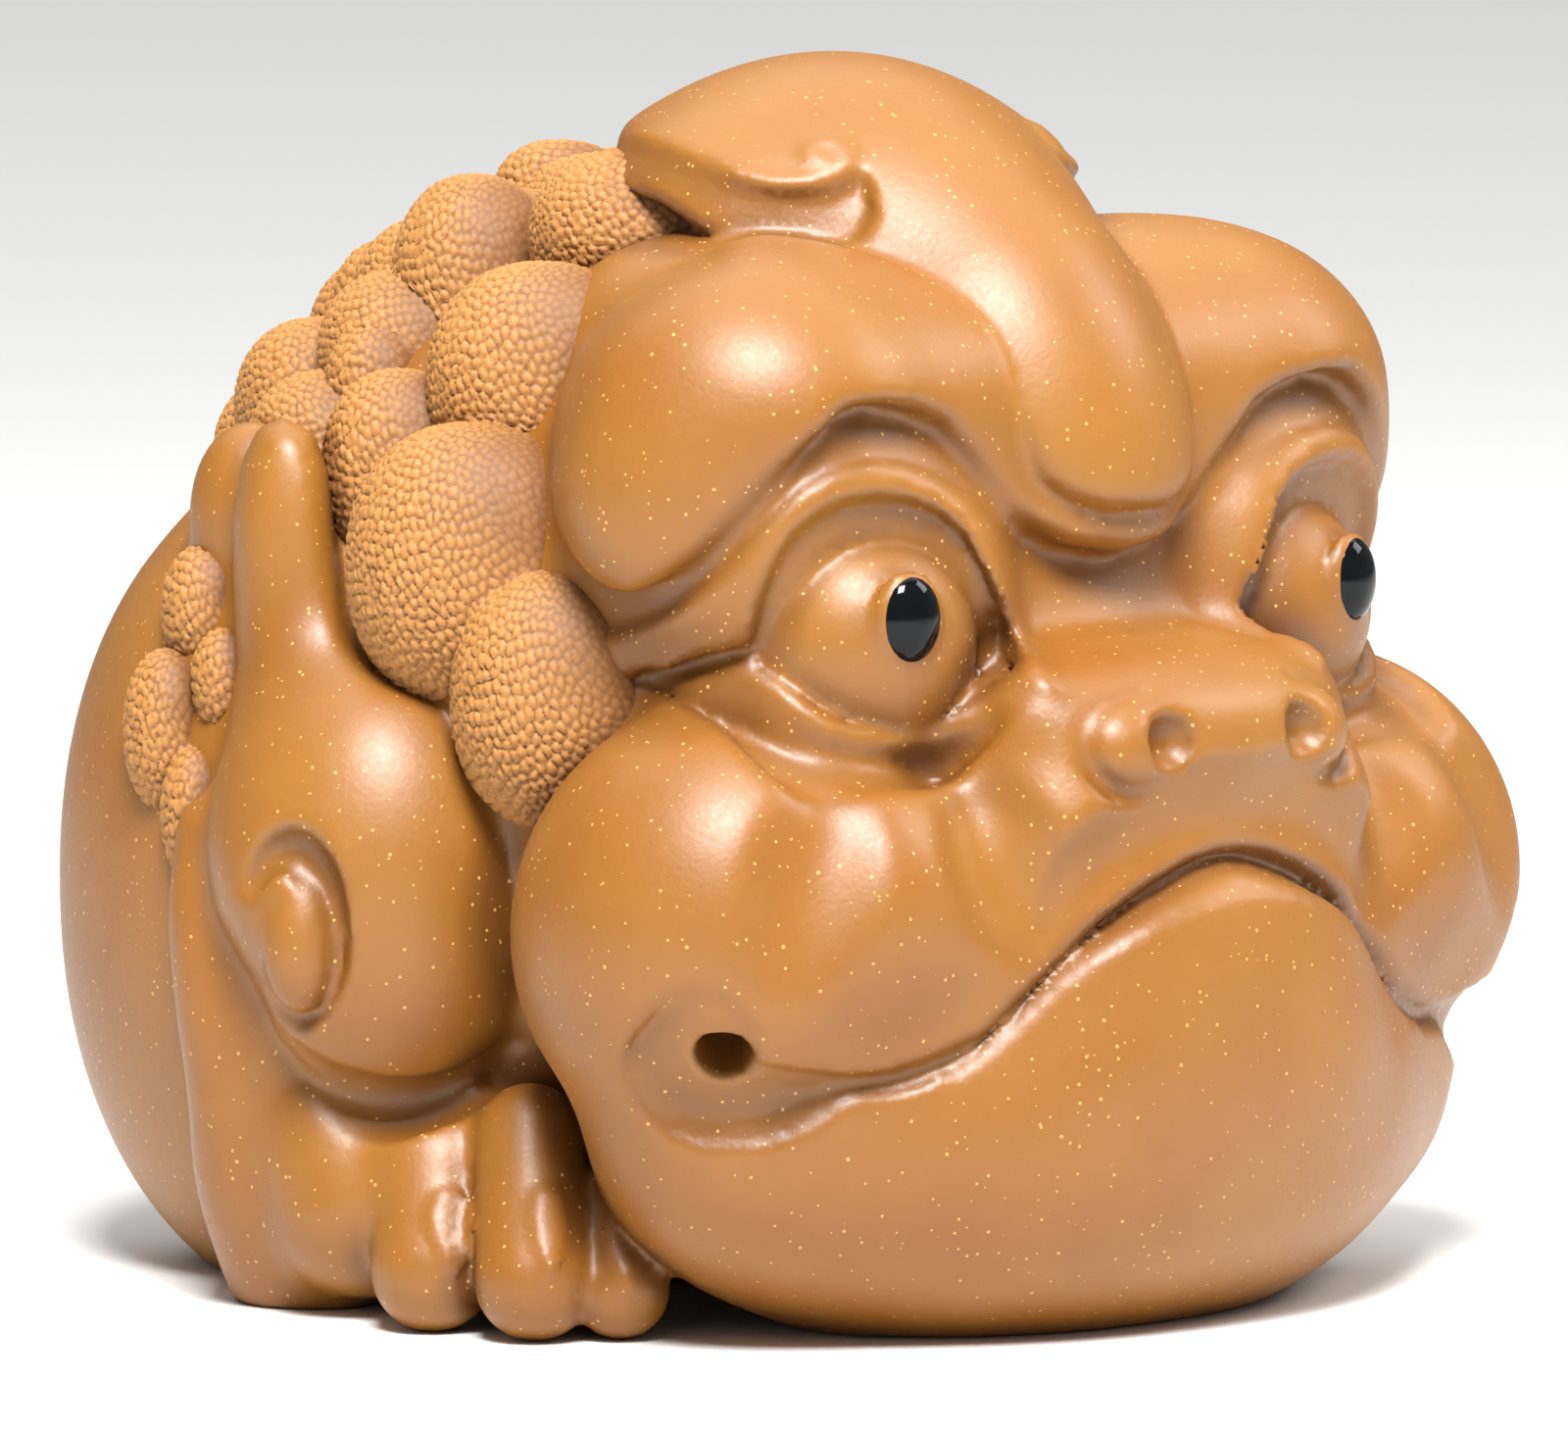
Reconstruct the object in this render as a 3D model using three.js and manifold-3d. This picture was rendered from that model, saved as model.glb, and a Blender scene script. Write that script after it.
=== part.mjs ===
// Seated toad figurine in golden stoneware, with two black bead pupils
// Millimetres, +Z up, facing -Y, its right side at -X, origin under the middle of the footprint

import * as THREE from 'three';
import { mergeVertices } from 'three/addons/utils/BufferGeometryUtils.js';
import Module from 'manifold-3d';

const wasm = await Module();
wasm.setup();

// Driving dimensions
const height = 84;
const beadGap = 0.3;
const barCorners = 3;

// Big rounded masses, right half given by its distance out from the middle plane
const trunk = { at: [0, 6.1, 36], size: [36.3, 41.6, 37.5] };
const haunch = { at: [19.5, 17.5, 26.5], size: [22, 25, 31] };
const head = { at: [0, -6, 42], size: [33.5, 25, 32.5] };
const temple = { at: [19.5, -18.5, 51], size: [14.5, 12.8, 14] };
const cheek = { at: [27, -24, 27.5], size: [15, 14.5, 15.5] };
const muzzle = { at: [0, -27, 35.5], size: [18, 19, 10.5] };
const lipFlap = { at: [17.5, -28.8, 27.5], size: [13.5, 12.4, 11.5] };
const jaw = { at: [0, -24.2, 13.5], size: [36.4, 19, 16] };
const chin = { at: [0, -26, 16], size: [26, 21.2, 17.5] };
const brow = { at: [20.5, -17.5, 61], size: [13.6, 14.8, 12.2] };
const browTail = { at: [30, -18.5, 54.5], size: [7.2, 8.7, 8.2] };
const browRoot = { at: [9, -22, 56], size: [10, 13.2, 7] };
const forehead = { at: [0, -17, 62], size: [10, 18.5, 14.5] };
const crest = { at: [0, -4, height - 14], size: [22, 18, 14] };
const crestCurl = { at: [9, -14, 75.5], size: [4, 3.5, 3.2] };
const noseTip = { at: [0, -40, 40.2], size: [13, 5.2, 4.8] };

// Eyes, each ball sitting in a socket scooped out of the head
const socket = { at: [20, -39, 49.5], size: [15, 10.5, 10.5] };
const eye = { at: [18.7, -26.8, 46.4], radius: 8 };
const lidThick = 1.9;
const upperLid = [
  [33, 23, 45], [28.5, 27.5, 53], [21, 30.5, 58],
  [13.5, 33, 55], [9, 34, 49.5], [6, 33, 44],
];
const lowerLid = [[33, 23, 44.5], [27, 29, 41.5], [21.5, 32, 40], [15.5, 33.5, 41.5], [11, 34, 45.5]];
const bead = { at: [20.7, -34.2, 48.6], size: [2.3, 1.6, 3], turnOut: 12 };

// Nostrils and the blind pits at the mouth corners
const nostril = { at: [6.4, -45.6, 39.6], radius: 1.9 };
const cornerPit = { at: [36, -33, 20.6], radius: 2.1, depth: 4 };

// Mouth line from the middle of the upper lip out to the corner: across, forward, up
const mouthLine = [
  [0, 43.7, 30.8], [6.5, 41.1, 29.8], [11.5, 39.7, 26.6], [15, 40.5, 23.4],
  [18.5, 39.8, 20], [23, 37.5, 18.2], [28, 35, 17.8], [33, 34.1, 18.6],
];
const mouthWidth = 1.2;

// Front leg in long lobes, each from one end to the other as across, forward, up, with its radius
const shoulder = { from: [34, -14, 59.5], to: [37.5, -6, 40], radius: 5.2 };
const upperArm = { at: [34.5, 3, 28.5], size: [12, 12.4, 15.8] };
const foreArm = { from: [38.5, -7, 24], to: [34, 0, 8.5], radius: 7.8 };
const elbowBall = { at: [43.5, 3, 25], size: [3.2, 3.6, 5] };
const toes = [
  { from: [35.5, 3.8, 9.7], to: [38, 6.3, 4], radius: 4.4 },
  { from: [32.2, 9.6, 12.6], to: [36, 14.3, 4], radius: 4.3 },
  { from: [29.8, 14.5, 7.8], to: [31.5, 17.8, 3.3], radius: 3.6 },
];

// Warts on the back: turn round the trunk from the tail, rise above its middle, radius
const sideWarts = [
  [118, 8, 7], [107, 21, 7.6], [95, 31, 6.2], [108, 43, 6.6], [82, 41, 5], [90, 52, 5.2],
  [66, 39, 5], [60, 53, 4.6], [117, 61, 5.4], [62, 72, 4.6], [45, 40, 4.6], [50, 25, 3.6],
];
const spineWarts = [[0, 62, 4.6], [0, 44, 5], [0, 26, 4.6], [25, 52, 4.4], [24, 33, 4.6]];
const wartSink = 0.72;

const clay = new THREE.MeshStandardMaterial({ color: 0xc88a42, roughness: 0.42, metalness: 0 });
const blackGlaze = new THREE.MeshStandardMaterial({ color: 0x0b0c0e, roughness: 0.06, metalness: 0 });

// Turns a closed geometry into a solid for joining and cutting
function toSolid(geometry) {
  const bare = geometry.clone();
  bare.deleteAttribute('normal');
  bare.deleteAttribute('uv');
  const merged = mergeVertices(bare, 1e-4);
  return new wasm.Manifold(new wasm.Mesh({
    numProp: 3,
    vertProperties: new Float32Array(merged.attributes.position.array),
    triVerts: new Uint32Array(merged.index.array),
  }));
}

function toGeometry(solid) {
  const mesh = solid.getMesh();
  const geometry = new THREE.BufferGeometry();
  geometry.setAttribute('position', new THREE.BufferAttribute(mesh.vertProperties, 3));
  geometry.setIndex(new THREE.BufferAttribute(mesh.triVerts, 1));
  return geometry;
}

function ellipsoid(centre, size, around = 18) {
  const geometry = new THREE.SphereGeometry(1, around, Math.round(around * 0.66));
  geometry.rotateX(Math.PI / 2);
  geometry.scale(...size);
  geometry.translate(...centre);
  return toSolid(geometry);
}

// A mass given for the right half, placed on the side asked for: -1 right, +1 left
function massOn(side, mass, around) {
  const [out, along, up] = mass.at;
  return ellipsoid([side * out, along, up], mass.size, around);
}

// Long rounded lobe reaching a little past both of its ends
function lobe(side, { from, to, radius }, around = 10) {
  const [start, end] = curveOn(side, [from, to]);
  const span = end.clone().sub(start);
  const geometry = new THREE.SphereGeometry(1, around, Math.round(around * 0.7));
  geometry.scale(radius, 0.5 * span.length() + 0.7 * radius, radius);
  geometry.applyQuaternion(new THREE.Quaternion().setFromUnitVectors(
    new THREE.Vector3(0, 1, 0), span.clone().normalize()));
  geometry.translate(...start.add(end).multiplyScalar(0.5).toArray());
  return toSolid(geometry);
}

// Round bar along a smooth curve, used for lids when joined and for grooves when cut
function bar(points, radius, steps, closed = false) {
  const section = new THREE.Shape();
  section.absarc(0, 0, radius, 0, 2 * Math.PI, false);
  const path = new THREE.CatmullRomCurve3(points, closed);
  const shape = new THREE.ExtrudeGeometry(section, {
    extrudePath: path, steps, curveSegments: barCorners, bevelEnabled: false,
  });
  return toSolid(shape);
}

// Points given as across, forward, up, placed on one side
function curveOn(side, points) {
  return points.map(([across, forward, up]) => new THREE.Vector3(side * across, -forward, up));
}

// Dome on the trunk at a turn round it and a rise above its middle
function wart(side, [turn, rise, radius]) {
  const a = THREE.MathUtils.degToRad(turn);
  const b = THREE.MathUtils.degToRad(rise);
  const way = [-Math.sin(a) * Math.cos(b) * -side, Math.cos(a) * Math.cos(b), Math.sin(b)];
  const sunk = (1 - wartSink) * radius;
  const centre = way.map((w, i) => trunk.at[i] + w * (trunk.size[i] - sunk));
  return ellipsoid(centre, [radius, radius, radius], 7);
}

// Oval bead turned a little outward, or the seat for it when grown
function beadSolid(side, grown) {
  const geometry = new THREE.SphereGeometry(1, 10, 8);
  geometry.rotateX(Math.PI / 2);
  geometry.scale(...bead.size.map((s) => s + grown));
  geometry.rotateZ(THREE.MathUtils.degToRad(side * bead.turnOut));
  geometry.translate(side * bead.at[0], bead.at[1], bead.at[2]);
  return toSolid(geometry);
}

function bodySolid() {
  let body = ellipsoid(head.at, head.size, 18);
  for (const side of [-1, 1]) body = body.add(massOn(side, temple, 14)).subtract(massOn(side, socket, 12));
  body = body
    .add(ellipsoid(trunk.at, trunk.size, 18))
    .add(ellipsoid(jaw.at, jaw.size, 20))
    .add(ellipsoid(chin.at, chin.size, 12))
    .add(ellipsoid(muzzle.at, muzzle.size, 16))
    .add(ellipsoid(forehead.at, forehead.size, 14))
    .add(ellipsoid(crest.at, crest.size, 14))
    .add(ellipsoid(noseTip.at, noseTip.size, 10));
  for (const side of [-1, 1]) {
    body = body
      .add(massOn(side, haunch, 14))
      .add(massOn(side, cheek, 16))
      .add(massOn(side, lipFlap, 11))
      .add(massOn(side, brow, 16))
      .add(massOn(side, browTail, 10))
      .add(massOn(side, browRoot, 10))
      .add(massOn(side, crestCurl, 8))
      .add(lobe(side, shoulder, 8))
      .add(massOn(side, upperArm, 12))
      .add(lobe(side, foreArm, 10))
      .add(massOn(side, elbowBall, 8))
      .add(ellipsoid([side * eye.at[0], eye.at[1], eye.at[2]], Array(3).fill(eye.radius), 14))
      .add(bar(curveOn(side, upperLid), lidThick, 8))
      .add(bar(curveOn(side, lowerLid), 0.8 * lidThick, 6));
    for (const toe of toes) body = body.add(lobe(side, toe, 8));
    for (const dome of sideWarts) body = body.add(wart(side, dome));
    for (const dome of spineWarts) {
      if (dome[0] > 0 || side > 0) body = body.add(wart(side, dome));
    }
  }
  return body;
}

function carve(body) {
  const slab = new THREE.BoxGeometry(200, 200, 60);
  slab.translate(0, 0, -30);
  let cut = body.subtract(toSolid(slab));
  const mouth = [...curveOn(-1, mouthLine).reverse(), ...curveOn(1, mouthLine).slice(1)];
  cut = cut.subtract(bar(mouth, mouthWidth, 14));
  for (const side of [-1, 1]) {
    const [out, along, up] = nostril.at;
    cut = cut.subtract(ellipsoid([side * out, along, up], Array(3).fill(nostril.radius), 8));
    const pit = cornerPit.at;
    const pitSize = [cornerPit.radius, cornerPit.depth, cornerPit.radius];
    cut = cut.subtract(ellipsoid([side * pit[0], pit[1], pit[2]], pitSize, 10));
    cut = cut.subtract(beadSolid(side, beadGap));
  }
  return cut;
}

function addMesh(group, name, geometry, material) {
  const mesh = new THREE.Mesh(geometry, material);
  mesh.name = name;
  group.add(mesh);
}

const group = new THREE.Group();
addMesh(group, 'toad_body', toGeometry(carve(bodySolid())), clay);
for (const [name, side] of [['pupil_right', -1], ['pupil_left', 1]]) {
  addMesh(group, name, toGeometry(beadSolid(side, 0)), blackGlaze);
}

export default group;
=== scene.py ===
# Squat toad figurine in golden stoneware, seen as in the photograph
import math
import time

import bmesh
import bpy
import numpy as np
from mathutils import Matrix, Vector


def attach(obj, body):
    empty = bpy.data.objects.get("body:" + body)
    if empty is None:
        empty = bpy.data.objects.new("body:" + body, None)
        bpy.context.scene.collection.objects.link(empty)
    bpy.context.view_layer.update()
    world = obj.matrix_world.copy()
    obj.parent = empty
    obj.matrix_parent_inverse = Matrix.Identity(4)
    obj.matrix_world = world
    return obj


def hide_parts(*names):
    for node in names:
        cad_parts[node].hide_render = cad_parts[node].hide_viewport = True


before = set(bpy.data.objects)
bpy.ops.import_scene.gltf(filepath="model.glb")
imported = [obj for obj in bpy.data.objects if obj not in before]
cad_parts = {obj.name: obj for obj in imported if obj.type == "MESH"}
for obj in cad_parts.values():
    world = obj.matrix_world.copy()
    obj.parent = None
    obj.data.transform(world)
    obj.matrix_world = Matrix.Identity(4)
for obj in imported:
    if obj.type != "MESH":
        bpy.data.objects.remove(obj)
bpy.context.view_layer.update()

startTime = time.time()
mm = 0.001  # the sculpture is worked out in millimetres


def report(stage):
    print(f"{stage}: {time.time() - startTime:.1f} s")


# The photograph's camera: turned to the toad's right, slightly above, far away
photo = {
    "turn": -43.0,  # degrees round from straight ahead
    "rise": 6.0,
    "away": 900.0,  # mm to the aim point
    "aim": (0, 0, 38.2),
    "pixelsPerMm": 14.8,
    "width": 1600,
    "height": 1458,
}


def photoAxes():
    turn, rise = np.radians([photo["turn"], photo["rise"]])
    back = np.array([math.sin(turn) * math.cos(rise), -math.cos(turn) * math.cos(rise), math.sin(rise)])
    right = np.array([math.cos(turn), math.sin(turn), 0.0])
    return right, np.cross(back, right), back


rightWay, upWay, backWay = photoAxes()
cameraPoint = np.array(photo["aim"]) + backWay * photo["away"]
focalPixels = photo["pixelsPerMm"] * photo["away"]
middle = (photo["width"] / 2, photo["height"] / 2)


def toPhoto(points):
    q = points - cameraPoint
    away = -(q @ backWay)
    across = middle[0] + focalPixels * (q @ rightWay) / away
    down = middle[1] - focalPixels * (q @ upWay) / away
    return np.stack([across, down], 1)


# walks from the camera through each pixel until it meets the form
def landOn(pixels, form):
    px = np.atleast_2d(np.asarray(pixels, float))
    way = (px[:, :1] - middle[0]) / focalPixels * rightWay - (px[:, 1:2] - middle[1]) / focalPixels * upWay - backWay
    way /= np.linalg.norm(way, axis=1, keepdims=True)
    points = cameraPoint + way * (photo["away"] - 70)
    best, bestGap = points.copy(), form(points)
    for _ in range(150):
        points = points + way * np.clip(form(points) * 0.8, -1, 1.5)[:, None]
        gap = form(points)
        closer = gap < bestGap - 1e-3
        best[closer], bestGap[closer] = points[closer], gap[closer]
    return np.where(bestGap[:, None] > 0.3, best, points)


def normalAt(points, form, step=0.1):
    shifts = np.eye(3) * step
    slope = np.stack([form(points + s) - form(points - s) for s in shifts], 1)
    return slope / np.maximum(np.linalg.norm(slope, axis=1, keepdims=True), 1e-9)


# Clay tools: each works on distances to the surface, in mm, negative inside

# joins two lumps with a soft seam of width k
def softUnion(a, b, k):
    h = np.maximum(k - np.abs(a - b), 0) / k
    return np.minimum(a, b) - h * h * k * 0.25


def softCut(a, b, k):
    h = np.maximum(k - np.abs(a + b), 0) / k
    return np.maximum(a, -b) + h * h * k * 0.25


# ball stretched to radii; a square above 2 makes it boxier
def lump(points, centre, radii, square=2.0, axes=None):
    q = points - np.asarray(centre, float)
    if axes is not None:
        q = q @ axes
    r = np.asarray(radii, float)
    if square == 2.0:
        k0 = np.sqrt(((q / r) ** 2).sum(1))
        k1 = np.sqrt(((q / (r * r)) ** 2).sum(1)) + 1e-9
        return k0 * (k0 - 1) / k1
    a = np.abs(q / r) + 1e-6
    k0 = (a ** square).sum(1) ** (1 / square)
    slope = np.sqrt((((a / k0[:, None]) ** (square - 1) / r) ** 2).sum(1)) + 1e-9
    return (k0 - 1) / slope


def nearBox(points, low, high):
    return np.nonzero(((points > low) & (points < high)).all(1))[0]


# smooth curve through the given rows
def curveThrough(rows, steps=5, closed=False):
    p = np.asarray(rows, float)
    ends = [p[-1:], p, p[:1], p[1:2]] if closed else [2 * p[:1] - p[1:2], p, 2 * p[-1:] - p[-2:-1]]
    q = np.vstack(ends)
    t = np.linspace(0, 1, steps, endpoint=False)[:, None]
    out = []
    for a, b, c, d in zip(q[:-3], q[1:-2], q[2:-1], q[3:]):
        out.append(0.5 * (2 * b + (c - a) * t + (2 * a - 5 * b + 4 * c - d) * t ** 2 + (3 * b - a - 3 * c + d) * t ** 3))
    out.append(p[:1] if closed else p[-1:])
    return np.vstack(out)


# a rolled coil of clay along a route of (x, y, z, radius), joined or pressed in
def coil(points, d, route, seam, cut=False):
    reach = np.abs(route[:, 3]).max() + seam + 3
    i = nearBox(points, route[:, :3].min(0) - reach, route[:, :3].max(0) + reach)
    if not len(i):
        return d
    q = points[i]
    best = np.full(len(q), 1e9)
    for a, b in zip(route[:-1], route[1:]):
        ab = b[:3] - a[:3]
        t = np.clip(((q - a[:3]) @ ab) / max(ab @ ab, 1e-9), 0, 1)
        e = q - a[:3] - t[:, None] * ab
        np.minimum(best, np.sqrt((e * e).sum(1)) - (a[3] + (b[3] - a[3]) * t), out=best)
    d[i] = softCut(d[i], best, seam) if cut else softUnion(d[i], best, seam)
    return d


def dab(points, d, at, size, seam, cut=False, square=2.0, axes=None):
    reach = max(size) + seam + 3
    i = nearBox(points, np.asarray(at) - reach, np.asarray(at) + reach)
    if not len(i):
        return d
    e = lump(points[i], at, size, square, axes)
    d[i] = softCut(d[i], e, seam) if cut else softUnion(d[i], e, seam)
    return d


# distance to a path drawn in a plane
def gapTo(q, path, closed=False):
    path = np.array(path, float)
    ends = np.roll(path, -1, 0) if closed else path[1:]
    best = np.full(len(q), 1e18)
    for a, b in zip(path, ends):
        ab = b - a
        e = q - a
        t = np.clip((e @ ab) / max(ab @ ab, 1e-12), 0, 1)
        f = e - t[:, None] * ab
        np.minimum(best, (f * f).sum(1), out=best)
    return np.sqrt(best)


# distance to a closed outline, positive inside
def insideOutline(q, outline):
    outline = np.array(outline, float)
    inside = np.zeros(len(q), bool)
    for a, b in zip(outline, np.roll(outline, -1, 0)):
        crossing = (a[1] > q[:, 1]) != (b[1] > q[:, 1])
        slope = (b[0] - a[0]) / (b[1] - a[1] if abs(b[1] - a[1]) > 1e-9 else 1e-9)
        inside ^= crossing & (q[:, 0] < a[0] + (q[:, 1] - a[1]) * slope)
    return gapTo(q, outline, closed=True) * np.where(inside, 1, -1)


# the plane an outline is drawn in: the photo's pixels turned to mm, or out and up seen from the front
def inView(points, view):
    if view == "front":
        return np.stack([-points[:, 0], points[:, 2]], 1)
    return toPhoto(points) / photo["pixelsPerMm"]


def drawn(path, view):
    return np.array(path, float) if view == "front" else np.array(path, float) / photo["pixelsPerMm"]


# a form trimmed to outlines, each as view: (outline, rim that rounds the trimmed edge)
def padOf(points, d, form, trims, seam, low, high):
    i = nearBox(points, np.array(low, float), np.array(high, float))
    if not len(i):
        return d
    pad = form(points[i])
    near = np.nonzero(pad < seam + 3)[0]
    if not len(near):
        return d
    i, pad = i[near], pad[near]
    for view, (outline, rim) in trims.items():
        s = insideOutline(inView(points[i], view), drawn(outline, view))
        pad = softCut(pad, s, rim)
    d[i] = softUnion(d[i], pad, seam)
    return d


# pares a form down inside an outline; profile gives the depth at distances in mm from the given edge
def pareDown(points, d, form, outline, edge, profile, seam, low, high, view="photo"):
    i = nearBox(points, np.array(low, float), np.array(high, float))
    if not len(i):
        return d
    v = form(points[i])
    away, depths = zip(*profile)
    near = np.nonzero(np.abs(v) < max(depths) + 3)[0]
    if not len(near):
        return d
    i, v = i[near], v[near]
    q = inView(points[i], view)
    s = insideOutline(q, drawn(outline, view))
    depth = np.interp(gapTo(q, drawn(edge, view)), away, depths)
    d[i] = softCut(d[i], np.maximum(-s, -(v + depth)), seam)
    return d


# The toad's big rounded masses: (out from the middle, y, z), radii, and how boxy
masses = {
    "trunk": ((0, 6.1, 36), (36.3, 40.2, 37.5)),
    "haunch": ((19.5, 17.5, 26.5), (21.7, 24.8, 31), 2.2),
    "head": ((0, -6, 42), (33.5, 25, 32.5)),
    "socket": ((19, -19, 54.3), (12.5, 12.3, 12), 2.4),
    "lidBed": ((15, -22, 49), (12, 11.6, 11.5)),
    "lowerBed": ((20.5, -24, 41.3), (9.8, 9.4, 7)),
    "cheek": ((27, -24, 27.5), (15, 14.5, 15.5)),
    "muzzle": ((0, -27, 36), (17, 17.6, 8.6)),
    "nose": ((0, -31, 39.5), (17, 14, 7), 2.4),
    "lip": ((0, -30, 32), (20, 14.8, 7), 2.6),
    "flap": ((17.5, -28.8, 27.5), (13.5, 12, 11.5)),
    "jaw": ((0, -24.2, 13.5), (36.4, 18.5, 16)),
    "chin": ((0, -26, 14.5), (26, 20.2, 16), 2.3),
    "lowerLip": ((0, -32, 21), (16.8, 14.8, 12.5), 2.7),
    "brow": ((20.5, -17.5, 60.5), (14, 15.2, 12)),
    "browTail": ((27.5, -18, 54.5), (8, 9.5, 9)),
    "browTop": ((17, -12, 62.3), (13.5, 13.5, 9.5)),
    "browInner": ((12, -18, 60.5), (9.5, 12.8, 10.5)),
    "browRoot": ((0, -22, 53.5), (12, 12.3, 6.5)),
    "browBridge": ((5, -20, 59), (13, 10.9, 10), 2.5),
    "tongue": ((0, -9.5, 55.5), (16.5, 26.3, 24.3)),
    "crown": ((15.5, -8, 65.6), (9.5, 9.5, 6.8)),
    "cap": ((0, -4, 69), (22, 18, 14)),
    "capFront": ((0, -6, 69), (13, 18, 14.3)),
    "arm": ((34.5, 3.5, 28.5), (12, 12.5, 16)),
    "shoulder": ((35.8, 11.2, 50), (4.9, 5.8, 11.8)),
    "shoulderBack": ((32.6, 18.3, 52.8), (4, 4.4, 6.4)),
}

# Outlines seen from the front, in mm out and up
frontOutlines = {
    "brow": [
        (-3, 51.6), (0, 51.6), (4.5, 52.4), (9, 55), (11.8, 58), (14.6, 61), (17.5, 62.2), (20.5, 62.7), (23.3, 62.1), (25.9, 60.2),
        (28.2, 57), (31, 52.5), (34, 48), (36, 40), (45, 40), (45, 90), (-3, 90),
    ],
    "tongue": [
        (-3, 54.7), (3, 54.8), (5.3, 55.6), (6.9, 57), (7.9, 59), (8.6, 61), (9.5, 64), (10.6, 66.5), (12, 69.5),
        (13.5, 72), (15, 75), (17, 80), (17, 92), (-3, 92),
    ],
}

# Outlines in photo pixels, each run on past what hides its far side
outlines = {
    "arm": [
        (290, 425), (322, 440), (337, 480), (342, 540), (356, 600), (367, 650), (400, 683), (450, 698), (487, 740),
        (512, 790), (533, 830), (548, 870), (548, 940), (550, 1000), (560, 1060), (545, 1095), (510, 1117), (450, 1137),
        (390, 1137), (330, 1112), (285, 1060), (262, 1005), (235, 960), (215, 930), (197, 860), (205, 800), (225, 740),
        (240, 680), (238, 600), (237, 530), (245, 470), (262, 435),
    ],
    "crest": [
        (650, 100), (634, 122), (629, 145), (627, 184), (637, 193), (674, 206), (711, 232), (748, 251), (800, 249),
        (852, 251), (885, 257), (920, 272), (949, 295), (991, 341), (1018, 383), (1060, 700), (1500, 700),
        (1500, 20), (700, 20),
    ],
    "crestFacet": [
        (610, 136), (641, 137), (674, 147), (696, 156), (722, 166), (748, 177), (785, 185), (820, 186), (850, 180),
        (872, 170), (886, 178), (896, 199), (903, 218), (899, 236), (884, 256), (852, 272), (800, 270), (748, 272),
        (700, 252), (660, 225), (610, 205),
    ],
    "outerBrow": [
        (600, 606), (580, 575), (563, 535), (558, 500), (561, 450), (570, 410), (590, 357), (625, 312), (670, 278),
        (720, 255), (748, 200), (700, 20), (1500, 20), (1500, 800), (900, 700), (872, 440), (855, 462), (816, 494),
        (779, 530), (729, 583), (690, 615), (655, 631), (630, 628),
    ],
    "upperLid": [
        (600, 672), (612, 645), (650, 636), (690, 618), (729, 587), (779, 533), (816, 497), (853, 477), (885, 468),
        (922, 471), (958, 485), (991, 508), (1014, 540), (1031, 588), (1047, 636), (1066, 680), (1082, 706),
        (1066, 703), (1047, 687), (1031, 658), (1015, 620), (996, 579), (977, 547), (955, 528), (926, 516),
        (894, 513), (862, 518), (837, 531), (811, 553), (792, 588), (779, 623), (773, 655), (748, 668), (716, 676),
        (684, 690), (652, 695), (620, 695),
    ],
    "ballShown": [
        (740, 690), (740, 560), (850, 480), (960, 500), (1040, 600), (1060, 690), (1010, 712), (985, 722), (968, 733),
        (939, 750), (907, 755), (875, 752), (843, 742), (811, 724), (786, 706), (760, 694),
    ],
    "underEye": [
        (655, 697), (698, 718), (739, 746), (776, 784), (814, 813), (839, 825), (886, 827), (932, 818), (979, 793),
        (1011, 760), (1044, 731), (1082, 708), (1060, 690), (1030, 680), (1005, 690), (930, 720), (850, 710), (780, 680), (720, 684),
    ],
    "eyeOpening": [
        (773, 655), (779, 623), (792, 588), (811, 553), (837, 531), (862, 518), (894, 513), (926, 516), (955, 528),
        (977, 547), (996, 579), (1012, 620), (1022, 655), (1022, 682), (1008, 700), (985, 714), (968, 725), (950, 739), (926, 746), (900, 748), (875, 743), (850, 732), (824, 714), (799, 691),
        (780, 676),
    ],
    "mouthGap": [
        (960, 1087), (990, 1068), (1020, 1042), (1050, 1010), (1083, 978), (1118, 943), (1148, 919), (1177, 899),
        (1212, 878), (1240, 868.5), (1264, 866), (1340, 860), (1340, 896), (1290, 900), (1265, 904), (1236, 914),
        (1206, 930), (1171, 948), (1140, 964), (1110, 982), (1083, 1002), (1060, 1024), (1035, 1050), (1005, 1077),
        (975, 1096),
    ],
    "cornerBowl": [
        (670, 1035), (648, 1060), (641, 1085), (650, 1110), (665, 1130), (686, 1149), (718, 1162), (753, 1163),
        (788, 1158), (817, 1146), (842, 1132), (862, 1114), (830, 1108), (771, 1098), (765, 1060), (740, 1030),
        (700, 1020),
    ],
    "ballShown": [
        (735, 660), (735, 500), (1010, 500), (1010, 690), (999, 708), (978, 732), (950, 748), (915, 754), (880, 752),
        (846, 741), (819, 723), (796, 705), (775, 691), (752, 680),
    ],
}
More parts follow.
